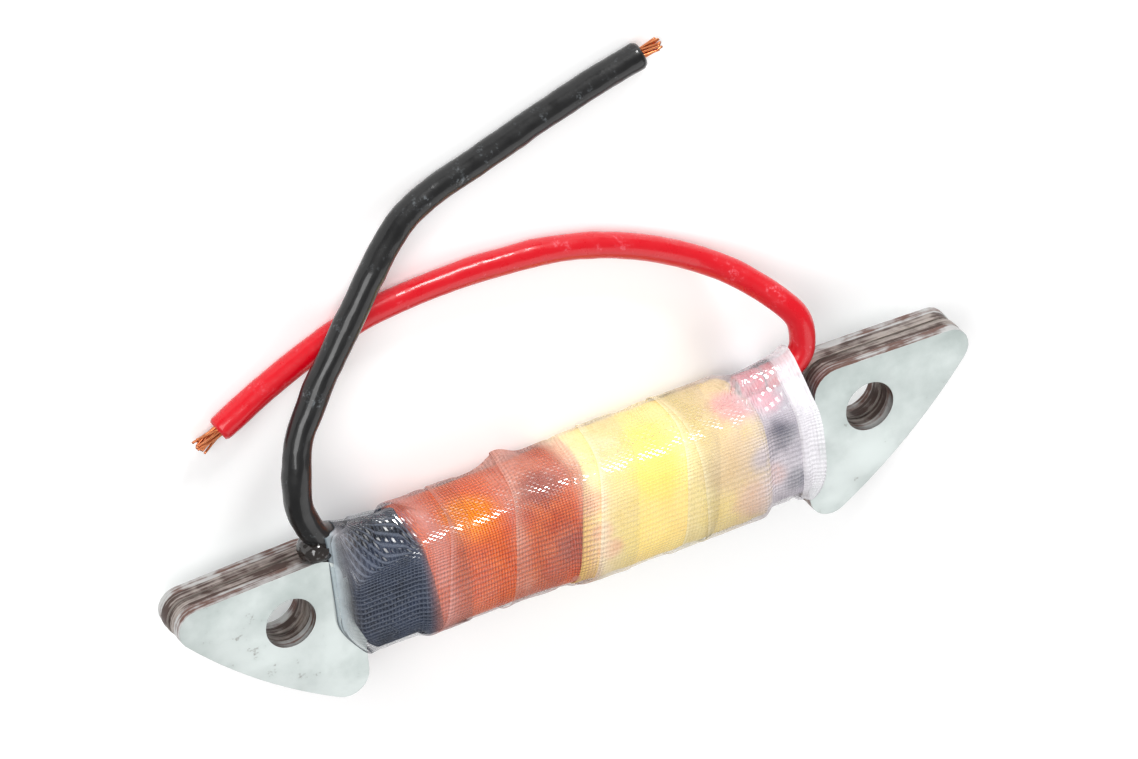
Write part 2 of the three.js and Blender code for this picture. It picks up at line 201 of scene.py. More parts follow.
blackLead = {
    "held": [(-20.5, 5.05, 0), (-22.3, 5.45, 0.2), (-24.3, 6.1, 0.5), (-25.9, 7.3, 0.8)],
    "free": [
        (-26.9, 9.7, 0.8), (-27.1, 11, 0.7), (-27, 12.5, 0.6), (-26.7, 14.4, 0.4), (-25.9, 16.7, -0.2),
        (-24.4, 18.9, -0.8), (-22.5, 21.3, -1.4), (-20.5, 23.8, -1.7), (-18.4, 26.5, -2), (-16.3, 29, -2.5),
        (-14, 31.3, -3.2), (-11.3, 33.1, -4), (-8, 34.3, -4.6), (-4.4, 35.3, -4.75), (-0.6, 36.5, -4.75),
        (3.3, 37.8, -4.75), (8.5, 39.3, -4.75), (13.7, 40.6, -4.75),
    ],
    "diameter": 2.6,
    "exit": (-26.75, 9.2, 0.8),
    "seed": 4.3,
    "runs": 0.14,            # height of the varnish runs
    "wrinkles": 0.03,
    "strandLength": 2.1,
    "endSplay": 0.12,
}
redLead = {
    "held": [(20.5, 5.48, 0), (22.2, 5.68, 0), (23.8, 6.08, 0), (24.75, 7.38, 0)],
    "free": [
        (24.9, 9.7, -0.15), (24.6, 10.8, -0.4), (23.7, 12.1, -1), (22.1, 13.8, -2.2), (20, 15.6, -3.5),
        (17.2, 17.5, -4.5), (12.7, 20.2, -4.8), (7.8, 22.4, -4.8), (2.8, 23.8, -4.8), (-2.2, 24.4, -4.8),
        (-7.3, 24.6, -4.8), (-12.4, 24.4, -4.8), (-16.5, 23.9, -4.8), (-20.6, 22.7, -4.8),
        (-24.6, 21.1, -4.8), (-28.2, 19.4, -4.8), (-31.6, 17.6, -4.8),
    ],
    "diameter": 2.45,
    "exit": (24.95, 9.2, -0.1),
    "seed": 9.1,
    "runs": 0.1,
    "wrinkles": 0.02,
    "strandLength": 2.4,
    "endSplay": 0.34,
}


pathStep = 0.3               # mm between the rings of a lead


def smoothPath(points, perSpan=16):
    # centripetal Catmull-Rom through the points
    p = np.asarray(points, float)
    p = np.vstack([2 * p[0] - p[1], p, 2 * p[-1] - p[-2]])
    out = []
    for i in range(1, len(p) - 2):
        knots = [0.0]
        for a, b in ((i - 1, i), (i, i + 1), (i + 1, i + 2)):
            knots.append(knots[-1] + math.sqrt(np.linalg.norm(p[b] - p[a])))
        t0, t1, t2, t3 = knots
        for t in np.linspace(t1, t2, perSpan, endpoint=False):
            a1 = (t1 - t) / (t1 - t0) * p[i - 1] + (t - t0) / (t1 - t0) * p[i]
            a2 = (t2 - t) / (t2 - t1) * p[i] + (t - t1) / (t2 - t1) * p[i + 1]
            a3 = (t3 - t) / (t3 - t2) * p[i + 1] + (t - t2) / (t3 - t2) * p[i + 2]
            b1 = (t2 - t) / (t2 - t0) * a1 + (t - t0) / (t2 - t0) * a2
            b2 = (t3 - t) / (t3 - t1) * a2 + (t - t1) / (t3 - t1) * a3
            out.append((t2 - t) / (t2 - t1) * b1 + (t - t1) / (t2 - t1) * b2)
    out.append(p[-2])
    return evenPath(np.array(out), pathStep)


def lengthsAlong(path):
    return np.concatenate([[0], np.cumsum(np.linalg.norm(np.diff(path, axis=0), axis=1))])


def evenPath(path, step):
    lengths = lengthsAlong(path)
    marks = np.linspace(0, lengths[-1], max(2, int(round(lengths[-1] / step)) + 1))
    return np.stack([np.interp(marks, lengths, path[:, k]) for k in range(3)], 1)


def pathFrames(path):
    # a frame that turns as little as it can along the path
    tangents = np.gradient(path, axis=0)
    tangents /= np.linalg.norm(tangents, axis=1)[:, None]
    side = np.cross(tangents[0], [0, 0, 1.0])
    side /= np.linalg.norm(side)
    sides = [side]
    for t in tangents[1:]:
        side = sides[-1] - t * np.dot(sides[-1], t)
        sides.append(side / np.linalg.norm(side))
    sides = np.array(sides)
    return tangents, sides, np.cross(tangents, sides)


for lead in (blackLead, redLead):
    lead["path"] = smoothPath(lead["held"] + lead["free"])


leadSkin = {
    "around": 28,
    "runsPerMm": 0.33,       # dried runs of varnish
    "runFloor": 0.05,
    "wrinklesPerMm": 1.1,
    "cutRound": 0.14,        # how far the cut end's rim is rounded, as a share of the radius
    "cutLength": 0.12,
}


def makeLead(name, lead, material, slot, stands):
    path = lead["path"]
    _, sides, ups = pathFrames(path)
    radius = lead["diameter"] / 2
    angles = np.linspace(0, 2 * math.pi, leadSkin["around"], endpoint=False)
    along = lengthsAlong(path)
    rings, uv = [], []
    for i, centre in enumerate(path):
        direction = np.outer(np.cos(angles), sides[i]) + np.outer(np.sin(angles), ups[i])
        swell = []
        for d in direction:
            spot = Vector((centre + d * radius).tolist())
            run = noise.noise(spot * leadSkin["runsPerMm"] + Vector((lead["seed"], 0, 0)))
            ripple = noise.noise(spot * leadSkin["wrinklesPerMm"] + Vector((0, lead["seed"], 0)))
            swell.append(lead["runs"] * max(0.0, run - leadSkin["runFloor"]) + lead["wrinkles"] * ripple)
        cut = 1 - leadSkin["cutRound"] * math.exp(-(along[-1] - along[i]) / leadSkin["cutLength"])
        rings.append(centre + direction * ((radius + np.array(swell)) * cut)[:, None])
        uv += [(along[i] * mm, a * radius * mm) for a in angles]
    obj = tubeMesh(name, toRow(np.array(rings)), uv)
    finishPiece(obj, material, slot, *stands)
    return obj


strandLay = {
    "radius": 0.115,
    "rootDepth": 0.35,       # how far a strand starts inside the cut end
    "twist": 0.9,
    "steps": 14,
    "sides": 8,
    "layers": ((1, 0.0, 0.0), (5, 0.24, 0.0), (10, 0.45, 0.2)),    # count, distance from the middle, turn
}


def makeStrands(name, lead, stand):
    # bare strands that leave the cut end in a loose twist
    tangents, sides, ups = pathFrames(lead["path"])
    end, axis, side, up = lead["path"][-1], tangents[-1], sides[-1], ups[-1]
    splay, root = lead["endSplay"], strandLay["rootDepth"]
    around, radius = strandLay["sides"], strandLay["radius"]
    ring = [k / around * 2 * math.pi for k in range(around)]
    rng = np.random.default_rng(int(lead["seed"] * 10))
    points, faces = [], []
    spots = [(distance, k / count * 2 * math.pi + turn)
             for count, distance, turn in strandLay["layers"] for k in range(count)]
    for distance, angle in spots:
        lean = splay * rng.uniform(-1, 1, 2)
        reach = lead["strandLength"] * rng.uniform(0.78, 1.06)
        twist = strandLay["twist"] * rng.uniform(0.8, 1.2)
        centres = []
        for t in np.linspace(0, 1, strandLay["steps"]):
            turn = angle + twist * t
            spread = distance * (1 + splay * 1.1 * t * t)
            sideways = side * (spread * math.cos(turn) + lean[0] * t * t)
            upwards = up * (spread * math.sin(turn) + lean[1] * t * t)
            centres.append(end + axis * ((reach + root) * t - root) + sideways + upwards)
        _, across, over = pathFrames(np.array(centres))
        faces += tubeFaces(len(centres), around, base=len(points))
        for i, centre in enumerate(centres):
            for a in ring:
                points.append(centre + (across[i] * math.cos(a) + over[i] * math.sin(a)) * radius)
    obj = meshObject(name, toRow(np.array(points)), faces)
    faceOutwards(obj)
    return finishPiece(obj, copperStrand, "bare_copper", stand)


# materials

def vinyl(name, body, scuff, coat, roughness):
    # extruded wire vinyl under dipped varnish: glossy, with dull rubbed patches and dried runs
    material, tree, place = newMaterial(name)
    cloud = addNode(tree, "TexNoise", {"Vector": place, "Scale": grain(2.38), "Detail": 5, "Roughness": 0.6})
    fine = addNode(tree, "TexNoise", {"Vector": place, "Scale": grain(0.385), "Detail": 4, "Roughness": 0.65})
    patch = addNode(tree, "MapRange", (cloud, 0.56, 0.68))
    speck = addNode(tree, "MapRange", (fine, 0.5, 0.75))
    rub = addNode(tree, "Math.MULTIPLY", (patch, speck))
    color = addNode(tree, "Mix", (rub, hexColor(body), hexColor(scuff)), data_type="RGBA")
    rough = addNode(tree, "MapRange", (cloud, 0.35, 0.7, roughness, roughness + 0.28))
    bump = addNode(tree, "Bump", {"Height": fine, "Strength": 0.35, "Distance": 0.00006})
    shader = addNode(tree, "BsdfPrincipled", {
        "Base Color": color, "Roughness": rough, "Normal": bump, "IOR": 1.53, "Specular IOR Level": 0.3,
        "Coat Weight": coat, "Coat Roughness": 0.07})
    addNode(tree, "OutputMaterial", (shader,))
    return material


def strandCopper(name):
    # bare drawn copper, bright on the crowns and browner between the strands
    material, tree, place = newMaterial(name)
    cloud = addNode(tree, "TexNoise", {"Vector": place, "Scale": grain(0.556), "Detail": 3})
    color = addNode(tree, "Mix", (cloud, hexColor("#b5521f"), hexColor("#eaa072")), data_type="RGBA")
    shader = addNode(tree, "BsdfPrincipled", {"Base Color": color, "Metallic": 1.0, "Roughness": 0.28})
    addNode(tree, "OutputMaterial", (shader,))
    return material


def platedSteel(name, face, stain, edgeLight, edgeDark, darkShare, roughness):
    # rolled sheet: satin faces with faint stains and scratches; sheared edges run in fine
    # streaks across the thickness, bright where the punch burnished them and brown where they tore
    material, tree, place = newMaterial(name)
    cloud = addNode(tree, "TexNoise", {"Vector": place, "Scale": grain(7.69), "Detail": 6, "Roughness": 0.62})
    stained = addNode(tree, "MapRange", (cloud, 0.42, 0.75))
    washed = addNode(tree, "Mix", (stained, hexColor(face), hexColor(stain)), data_type="RGBA")
    dirt = addNode(tree, "TexNoise", {"Vector": place, "Scale": grain(1.92), "Detail": 6, "Roughness": 0.7})
    speck = addNode(tree, "MapRange", (dirt, 0.64, 0.7, 0, 0.6))
    faceColor = addNode(tree, "Mix", (speck, washed, hexColor("#6e625c")), data_type="RGBA")

    stretch = addNode(tree, "Mapping", {"Vector": place, "Scale": (grain(6.67), grain(6.67), grain(0.294))})
    streaks = addNode(tree, "TexNoise", {"Vector": stretch, "Scale": 1, "Detail": 4})
    band = addNode(tree, "TexNoise", {"Vector": place, "Scale": grain(2.0), "Detail": 4})
    blend = addNode(tree, "Math.ADD", (streaks, band))
    torn = addNode(tree, "MapRange", (blend, 0.95 - darkShare, 1.2 - darkShare))
    edgeColor = addNode(tree, "Mix", (torn, hexColor(edgeLight), hexColor(edgeDark)), data_type="RGBA")

    normal = addNode(tree, "TexCoord").outputs["Normal"]
    up = addNode(tree, "SeparateXYZ", (normal,)).outputs["Z"]
    flat = addNode(tree, "Math.ABSOLUTE", (up,))
    onFace = addNode(tree, "MapRange", (flat, 0.45, 0.8))
    color = addNode(tree, "Mix", (onFace, edgeColor, faceColor), data_type="RGBA")
    turned = addNode(tree, "Mapping", {"Vector": place, "Rotation": (0, 0, 0.6),
                                       "Scale": (grain(3.33), grain(0.192), grain(3.33))})
    scratch = addNode(tree, "TexNoise", {"Vector": turned, "Scale": 1, "Detail": 2})
    height = addNode(tree, "Math.ADD", (scratch, cloud))
    bump = addNode(tree, "Bump", {"Height": height, "Strength": 0.25, "Distance": 0.00004})
    rough = addNode(tree, "MapRange", (cloud, 0.3, 0.75, roughness, roughness + 0.2))
    metal = addNode(tree, "MapRange", (torn, 0, 1, 0.95, 0.6))
    shader = addNode(tree, "BsdfPrincipled", {
        "Base Color": color, "Metallic": metal, "Roughness": rough, "Normal": bump})
    addNode(tree, "OutputMaterial", (shader,))
    return material


def layerMaterial(name, light, dark, cloudSize, roughness, coat=0.0, metallic=0.0, specular=0.5, spots=()):
    # a varnished inner layer with cloudy colour; spots are local patches of colour: place and radius in mm,
    # colour. Most are stains and what shows through from below; the vivid orange one on the winding is partly
    # a painted highlight
    material, tree, place = newMaterial(name)
    cloud = addNode(tree, "TexNoise", {"Vector": place, "Scale": grain(cloudSize), "Detail": 5,
                                       "Roughness": 0.6})
    spread = addNode(tree, "MapRange", (cloud, 0.3, 0.7))
    color = addNode(tree, "Mix", (spread, hexColor(dark), hexColor(light)), data_type="RGBA")
    for spot, radius, tint in spots:
        away = addNode(tree, "VectorMath.DISTANCE", (place, tuple(toRow(spot))))
        ragged = addNode(tree, "Math.MULTIPLY_ADD", (cloud, radius * mm, away))
        near = addNode(tree, "MapRange", (ragged, radius * 1.6 * mm, radius * 0.9 * mm),
                       interpolation_type="SMOOTHSTEP")
        color = addNode(tree, "Mix", (near, color, hexColor(tint)), data_type="RGBA")
    bump = addNode(tree, "Bump", {"Height": cloud, "Strength": 0.3, "Distance": 0.0001})
    shader = addNode(tree, "BsdfPrincipled", {
        "Base Color": color, "Roughness": roughness, "Metallic": metallic, "Specular IOR Level": specular,
        "Normal": bump, "Coat Weight": coat, "Coat Roughness": 0.15})
    addNode(tree, "OutputMaterial", (shader,))
    return material


weave = {
    "pitch": 0.34 * mm,      # thread to thread
    "drift": (0.2 * mm, 0.2 * mm, 0),
    "crossShare": 0.55,      # how strong the threads along the strip show beside those across it
    "lineAlpha": 0.42,
    "mistAlpha": 0.5,        # where the mist is full
    "bubbleSpacing": 2.38,   # mm
    "rim": "#3b444c",
    "gloss": 0.5,            # on the crowns of the threads
    "dashFloor": 0.43,       # the lower this is, the more crowns carry a glint
    # threads and mist take the colour of what they lie over; x in mm
    "thread": [(-25.6, "#868e9e"), (-17.6, "#868e9e"), (-16.8, "#4a3238"), (-1.4, "#4a3238"),
               (0.8, "#bd9f70"), (14.0, "#b3966e"), (17.5, "#98898f"), (23.5, "#a7a2ab")],
    "mist": [(-25.6, "#b9cad2"), (-24.2, "#a9a7ab"), (-22.6, "#a09fa6"), (-21.4, "#8d94a8"),
             (-17.6, "#8d94a8"), (-16.6, "#f0aaa0"), (-8.0, "#f2b3a0"), (-2.0, "#e8a394"),
             (0.0, "#fdeccf"), (10.0, "#fdf2c8"), (14.0, "#f4e0c6"), (17.5, "#e6dbe0"),
             (21.0, "#ece9ee"), (23.5, "#f1eff3")],
}


def glassTape(name):
    # woven glass tape soaked in clear varnish: the threads show as a fine net, the varnish as a
    # milky mist that gathers at folds and overlaps, and the wet crowns break the light into dashes
    material, tree, place = newMaterial(name)
    mist, netting, rim, skin, wet = (
        addNode(tree, "Attribute", attribute_name=part).outputs["Fac"]
        for part in ("mist", "netting", "rim", "skin", "wet"))

    # the net: two sets of threads over the strip, pushed about a little
    surface = addNode(tree, "UVMap", uv_map="surface")
    drift = addNode(tree, "TexNoise", {"Vector": place, "Scale": grain(6.25), "Detail": 2})
    push = addNode(tree, "VectorMath.MULTIPLY", (drift.outputs["Color"], weave["drift"]))
    moved = addNode(tree, "VectorMath.ADD", (surface, push))
    turns = addNode(tree, "VectorMath.SCALE", (moved, 2 * math.pi / weave["pitch"]))
    thread = addNode(tree, "SeparateXYZ", (turns,)).outputs
    warp = addNode(tree, "Math.COSINE", (thread["X"],))
    weft = addNode(tree, "Math.COSINE", (thread["Y"],))
    warpLine = addNode(tree, "MapRange", (warp, 0.1, 0.9))
    weftLine = addNode(tree, "MapRange", (weft, 0.1, 0.9, 0, weave["crossShare"]))
    net = addNode(tree, "Math.MAXIMUM", (warpLine, weftLine))
    lineStrength = addNode(tree, "Math.MULTIPLY", (netting, weave["lineAlpha"]))
    lineAlpha = addNode(tree, "Math.MULTIPLY", (net, lineStrength))

    # the varnish: cloudy mist, and round bubbles in some of the cells
    milk = addNode(tree, "TexNoise", {"Vector": place, "Scale": grain(2.63), "Detail": 5, "Roughness": 0.6})
    cloudy = addNode(tree, "MapRange", (milk, 0.3, 0.7, 0.6, 1.3))
    haze = addNode(tree, "Math.MULTIPLY", (mist, cloudy))
    cells = addNode(tree, "TexVoronoi", {"Vector": place, "Scale": grain(weave["bubbleSpacing"])})
    chance = addNode(tree, "SeparateXYZ", (cells.outputs["Color"],)).outputs
    size = addNode(tree, "MapRange", (chance["Y"], 0, 1, 0.06, 0.2))
    depth = addNode(tree, "Math.SUBTRACT", (size, cells))
    disc = addNode(tree, "MapRange", (depth, 0, 0.04, 0, 0.3))
    chosen = addNode(tree, "Math.GREATER_THAN", (chance["X"], 0.82))
    bubble = addNode(tree, "Math.MULTIPLY", (chosen, disc))
    hazeAlpha = addNode(tree, "Math.MULTIPLY_ADD", (haze, weave["mistAlpha"], bubble))
    both = addNode(tree, "Math.ADD", (hazeAlpha, lineAlpha), use_clamp=True)
    orRim = addNode(tree, "Math.MAXIMUM", (both, rim))
    alpha = addNode(tree, "Math.MULTIPLY", (orRim, skin))

    tints = {}
    across = addNode(tree, "SeparateXYZ", (place,)).outputs["X"]
    for part in ("mist", "thread"):
        bands = weave[part]
        low, high = bands[0][0], bands[-1][0]
        share = addNode(tree, "MapRange", (across, low * mm, high * mm))
        tints[part] = addNode(tree, "ValToRGB", (share,))
        elements = tints[part].color_ramp.elements
        while len(elements) < len(bands):
            elements.new(1.0)
        for element, (x, code) in zip(elements, bands):
            element.position = (x - low) / (high - low)
            element.color = hexColor(code)
    lineShare = addNode(tree, "Math.DIVIDE", (lineAlpha, both), use_clamp=True)
    color = addNode(tree, "Mix", (lineShare, tints["mist"], tints["thread"]), data_type="RGBA")
    color = addNode(tree, "Mix", (rim, color, hexColor(weave["rim"])), data_type="RGBA")
    ridges = addNode(tree, "Math.ADD", (warp, weft))
    ridgeShare = addNode(tree, "Math.MULTIPLY", (netting, 1.6), use_clamp=True)
    bump = addNode(tree, "Bump", {"Height": ridges, "Strength": ridgeShare, "Distance": 0.00005})
    cloth = addNode(tree, "BsdfPrincipled", {
        "Base Color": color, "Roughness": 0.45, "Alpha": alpha, "Normal": bump, "IOR": 1.5,
        "Specular IOR Level": 0.15})

    # glints: dashes two threads long between the lines
    diagonal = addNode(tree, "VectorMath.DOT_PRODUCT", (turns, (0.5, 0.5, 0)))
    longWave = addNode(tree, "Math.SINE", (diagonal,))
    between = addNode(tree, "MapRange", (warp, -0.1, -0.7))
    dash = addNode(tree, "MapRange", (longWave, 0.1, 0.6))
    patch = addNode(tree, "TexNoise", {"Vector": place, "Scale": grain(1.11), "Detail": 2})
    lit = addNode(tree, "MapRange", (patch, weave["dashFloor"], weave["dashFloor"] + 0.08))
    wetness = addNode(tree, "Math.MULTIPLY", (wet, weave["gloss"]))
    for part in (between, dash, lit, skin):
        wetness = addNode(tree, "Math.MULTIPLY", (wetness, part))
    gloss = addNode(tree, "BsdfAnisotropic", {"Color": (1, 1, 1, 1), "Roughness": 0.2})
    wetCloth = addNode(tree, "MixShader", (wetness, cloth, gloss))
    addNode(tree, "OutputMaterial", (wetCloth,))
    return material


blackVinyl = vinyl("black_wire_vinyl", "#040405", "#6d7377", 0.45, 0.3)
redVinyl = vinyl("red_wire_vinyl", "#c80016", "#e0707c", 0.35, 0.22)
copperStrand = strandCopper("bare_copper_strand")
zincSteel = platedSteel("zinc_plated_steel", "#c3cac8", "#adb7b4", "#bfbfbe", "#6a4f47", 0.05, 0.32)
coreSteel = platedSteel("bare_core_steel", "#a49d97", "#6f625b", "#a89f99", "#4a3a35", 0.1, 0.4)
insulationPaper = layerMaterial("varnished_insulation_paper", "#2b3346", "#0e121b", 2.38, 0.6, specular=0.1)
rightPaper = layerMaterial("milky_insulation_paper", "#c3bbc3", "#9a95a3", 3.33, 0.6, specular=0.2, spots=[
    ((19.6, 2.0, 4.9), 2.0, "#283048"),
    ((18.0, 0.8, 5.0), 1.3, "#3d4459"),
    ((20.8, -3.0, 4.8), 1.7, "#353c52"),
    ((18.4, -1.8, 5.0), 1.8, "#dba898"),
    ((19.2, 4.8, 1.6), 2.2, "#e690a0"),
])
yellowFilm = layerMaterial("yellow_polyester_film", "#f5df8a", "#ebcb74", 3.85, 0.55, specular=0.2, spots=[
    ((6.6, 3.5, 3.5), 4.6, "#f3d862"),
    ((4.6, -2.5, 5.2), 3.2, "#f2d876"),
    ((14.0, 1.5, 5.0), 4.0, "#dfbf8c"),
    ((15.6, -3.0, 5.2), 2.6, "#e6b893"),
    ((16.0, 5.0, 1.8), 2.6, "#e3868f"),
    ((16.9, 1.0, 5.0), 1.6, "#b9aeb0"),
    ((0.0, 2.6, 4.6), 1.5, "#e6965f"),
    ((0.3, -0.5, 5.3), 1.3, "#e3a06c"),
    ((0.9, -2.6, 5.3), 1.5, "#e9a374"),
])
enamelWire = layerMaterial("enamelled_copper_wire", "#f47a2c", "#d9501a", 2.38, 0.35, 0.3, 0.05, spots=[
    # partly the wire's vivid orange in a clear gap of the tape, partly a painted highlight where the light
    # falls on the upper side
    ((-11.5, 4.7, 2.4), 3.4, "#ff9500"),
    ((-4.6, 4.4, 2.4), 2.8, "#a83e2e"),
    ((-2.2, -1.0, 5.0), 2.6, "#b9472a"),
])
glassCloth = glassTape("varnished_glass_tape")
solderTin = layerMaterial("tin_solder", "#c3c6c8", "#8f9396", 1.67, 0.35, metallic=1.0)
redSleeving = layerMaterial("red_joint_sleeving", "#e0354f", "#c02038", 2.0, 0.4, 0.4)
blackSleeving = layerMaterial("black_joint_sleeving", "#20242c", "#101216", 2.0, 0.4, 0.2)
setVarnish = layerMaterial("set_varnish", "#241c18", "#0c0908", 3.33, 0.12, 0.6)
print("materials ready")

blackStrands = makeStrands("black_lead_strands", blackLead, "black_lead_conductor")
redStrands = makeStrands("red_lead_strands", redLead, "red_lead_conductor")
makeLead("black_lead_wire", blackLead, blackVinyl, "black_vinyl",
         ["black_lead", "black_lead_held_end"])
makeLead("red_lead_wire", redLead, redVinyl, "red_vinyl", ["red_lead", "red_lead_held_end"])
print("leads ready")


# core plates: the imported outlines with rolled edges, each lying a little off its neighbours

plateShifts = {
    # across and up, in mm
    "rear_core_plate": (0.10, -0.06),
    "rear_inner_core_plate": (-0.12, 0.10),
    "front_inner_core_plate": (0.06, -0.03),
    "front_core_plate": (0.0, 0.0),
}
plateEdge = {"roll": 0.16 * mm, "steps": 3, "sharpAngle": 50, "shadeAngle": 40}


def makePlate(node, shift):
    work = bmesh.new()
    work.from_mesh(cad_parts[node].data)
    bmesh.ops.remove_doubles(work, verts=work.verts, dist=1e-6)
    bmesh.ops.dissolve_limit(work, angle_limit=math.radians(1), verts=work.verts, edges=work.edges)
    bmesh.ops.recalc_face_normals(work, faces=work.faces)
    rims = [e for e in work.edges if len(e.link_faces) == 2
            and e.calc_face_angle() > math.radians(plateEdge["sharpAngle"])]
    bmesh.ops.bevel(work, geom=rims, offset=plateEdge["roll"], segments=plateEdge["steps"],
                    profile=0.5, affect="EDGES", clamp_overlap=True)
    bmesh.ops.triangulate(work, faces=[f for f in work.faces if len(f.verts) > 4])
    bmesh.ops.translate(work, verts=work.verts, vec=Vector((*shift, 0)) * mm)
    obj = objectFromWork(node + "_rolled", work)
    obj.data.set_sharp_from_angle(angle=math.radians(plateEdge["shadeAngle"]))
    if "inner" in node:
        return finishPiece(obj, coreSteel, "bare_plate", node)
    return finishPiece(obj, zincSteel, "zinc_plate", node)


for node, shift in plateShifts.items():
    makePlate(node, shift)
print("plates ready")


# wrapped section: the shape that every layer follows

section = {
    "flatY": 2.4,
    "flatZ": 1.6,
    "thin": 3.2,             # build of the wire on the start half
    "full": 3.75,            # and on the finish half
    "ramp": (-8, 3),         # x where one grows into the other
    "leftCollar": 2.75,
    "rightCollar": 3.2,
    "wireEnd": 17.1,
    "crown": 3.0,            # how square the section is
}
heldRoute = {
    # centre of each held lead, by distance from the middle of the coil
    "left": ([17, 20.5, 22.3, 24.3, 25.6], [4.65, 4.95, 5.35, 6.0, 6.5]),
    "right": ([17, 20.5, 22.2, 23.8, 24.6], [5.1, 5.45, 5.65, 6.05, 6.6]),
    "leftRise": ([20.5, 25.6], [0, 0.7]),
    "fade": (14.6, 17.6),    # the cover shrinks to nothing over this stretch
    "cover": 0.2,
    "blend": (-0.25, 0.55),
}


def wireBuild(x):
    return section["thin"] + (section["full"] - section["thin"]) * smooth(x, *section["ramp"])


def heldLead(x):
    # centre and radius of the lead under the tape at x
    reach = np.abs(x)
    left = x < 0
    y = np.where(left, np.interp(reach, *heldRoute["left"]), np.interp(reach, *heldRoute["right"]))
    z = np.where(left, np.interp(reach, *heldRoute["leftRise"]), 0.0)
    diameter = np.where(left, blackLead["diameter"], redLead["diameter"])
    return y, z, diameter / 2 * smooth(reach, *heldRoute["fade"])


def wrapPoint(x, theta, buildY, buildUp, buildDown, lift=0.0, leads=False):
    # a point of a wrapped layer, over the held leads if asked; theta runs from +Y through +Z
    crown = section["crown"]
    across, up = np.cos(theta), np.sin(theta)
    softAcross = np.tanh(crown * across) / math.tanh(crown)
    softUp = np.tanh(crown * up) / math.tanh(crown)
    buildZ = np.where(up < 0, buildDown, buildUp)
    y = neckY + section["flatY"] * softAcross + (buildY + lift) * across
    z = section["flatZ"] * softUp + (buildZ + lift) * up
    if leads:
        leadY, leadZ, radius = heldLead(x)
        wide = radius + heldRoute["cover"] + lift
        gain = (leadY - y) * across + (leadZ - z) * up + wide
        take = smooth(gain, *heldRoute["blend"]) * (radius > 0.02)
        y = y + take * (leadY + wide * across - y)
        z = z + take * (leadZ + wide * up - z)
    return np.stack([x + 0 * theta, y, z], -1)


def sleeveObject(name, stations, skin, around=96):
    # closed tube between the outer and the inner skin
    theta = np.linspace(0, 2 * math.pi, around, endpoint=False)
    rings = [skin(np.full(around, x), theta, False) for x in stations]
    rings += [skin(np.full(around, x), theta, True) for x in reversed(stations)]
    return tubeMesh(name, toRow(np.array(rings)), closedLoop=True)


# winding: one helical wire, by geometry nodes

wireCoil = {
    "wire": 0.28,            # over the enamel
    "overlap": 1.04,         # each turn drawn a little fat, so that turns touch
    "stepsPerTurn": 56,
    "sides": 6,
}


def windingTree():
    tree = bpy.data.node_groups.new("layer_of_wire", "GeometryNodeTree")
    tree.is_modifier = True
    face = tree.interface
    face.new_socket("Geometry", in_out="INPUT", socket_type="NodeSocketGeometry")
    for name, kind in (("Turns", "Float"), ("Half length", "Float"), ("Wire", "Float"), ("Steps", "Int"),
                       ("Middle", "Float"), ("Thin build", "Float"), ("Full build", "Float"),
                       ("Material", "Material")):
        face.new_socket(name, in_out="INPUT", socket_type="NodeSocket" + kind)
    face.new_socket("Geometry", in_out="OUTPUT", socket_type="NodeSocketGeometry")
    given = addNode(tree, "NodeGroupInput").outputs

    line = addNode(tree, "GeometryNodeCurvePrimitiveLine", {"Start": (0, 0, 0), "End": (1, 0, 0)})
    cut = addNode(tree, "GeometryNodeResampleCurve", {"Curve": line, "Count": given["Steps"]})
    along = addNode(tree, "GeometryNodeSplineParameter").outputs["Factor"]
    wound = addNode(tree, "Math.MULTIPLY", (along, given["Turns"]))
    angle = addNode(tree, "Math.MULTIPLY", (wound, -2 * math.pi))
    fromMiddle = addNode(tree, "Math.MULTIPLY_ADD", (along, 2.0, -1.0))
    reach = addNode(tree, "Math.MULTIPLY", (fromMiddle, given["Half length"]))
    rampLow, rampHigh = (x * mm for x in section["ramp"])
    upper = addNode(tree, "MapRange", (reach, rampLow, rampHigh, given["Thin build"], given["Full build"]),
                    interpolation_type="SMOOTHSTEP")
    across = addNode(tree, "Math.COSINE", (angle,))
    up = addNode(tree, "Math.SINE", (angle,))
    below = addNode(tree, "Math.LESS_THAN", (up, 0.0))
    level = addNode(tree, "Mix", (below, upper, given["Full build"]))
    place = {"X": reach}
    for axis, way, flat, build, middle in (("Y", across, "flatY", upper, neckY * mm),
                                           ("Z", up, "flatZ", level, given["Middle"])):
        steep = addNode(tree, "Math.MULTIPLY", (way, section["crown"]))
        bent = addNode(tree, "Math.TANH", (steep,))
        soft = addNode(tree, "Math.DIVIDE", (bent, math.tanh(section["crown"])))
        flatPart = addNode(tree, "Math.MULTIPLY_ADD", (soft, section[flat] * mm, middle))
        place[axis] = addNode(tree, "Math.MULTIPLY_ADD", (way, build, flatPart))
    spot = addNode(tree, "CombineXYZ", place)
    laid = addNode(tree, "GeometryNodeSetPosition", {"Geometry": cut, "Position": spot})
    ring = addNode(tree, "GeometryNodeCurvePrimitiveCircle", {"Resolution": wireCoil["sides"],
                                                              "Radius": given["Wire"]})
    skin = addNode(tree, "GeometryNodeCurveToMesh", {"Curve": laid, "Profile Curve": ring, "Fill Caps": True})
    shaded = addNode(tree, "GeometryNodeSetShadeSmooth", {"Geometry": skin})
    real = addNode(tree, "GeometryNodeRealizeInstances", {"Geometry": shaded})
    painted = addNode(tree, "GeometryNodeSetMaterial", {"Geometry": real, "Material": given["Material"]})
    addNode(tree, "NodeGroupOutput", {"Geometry": painted})
    return tree


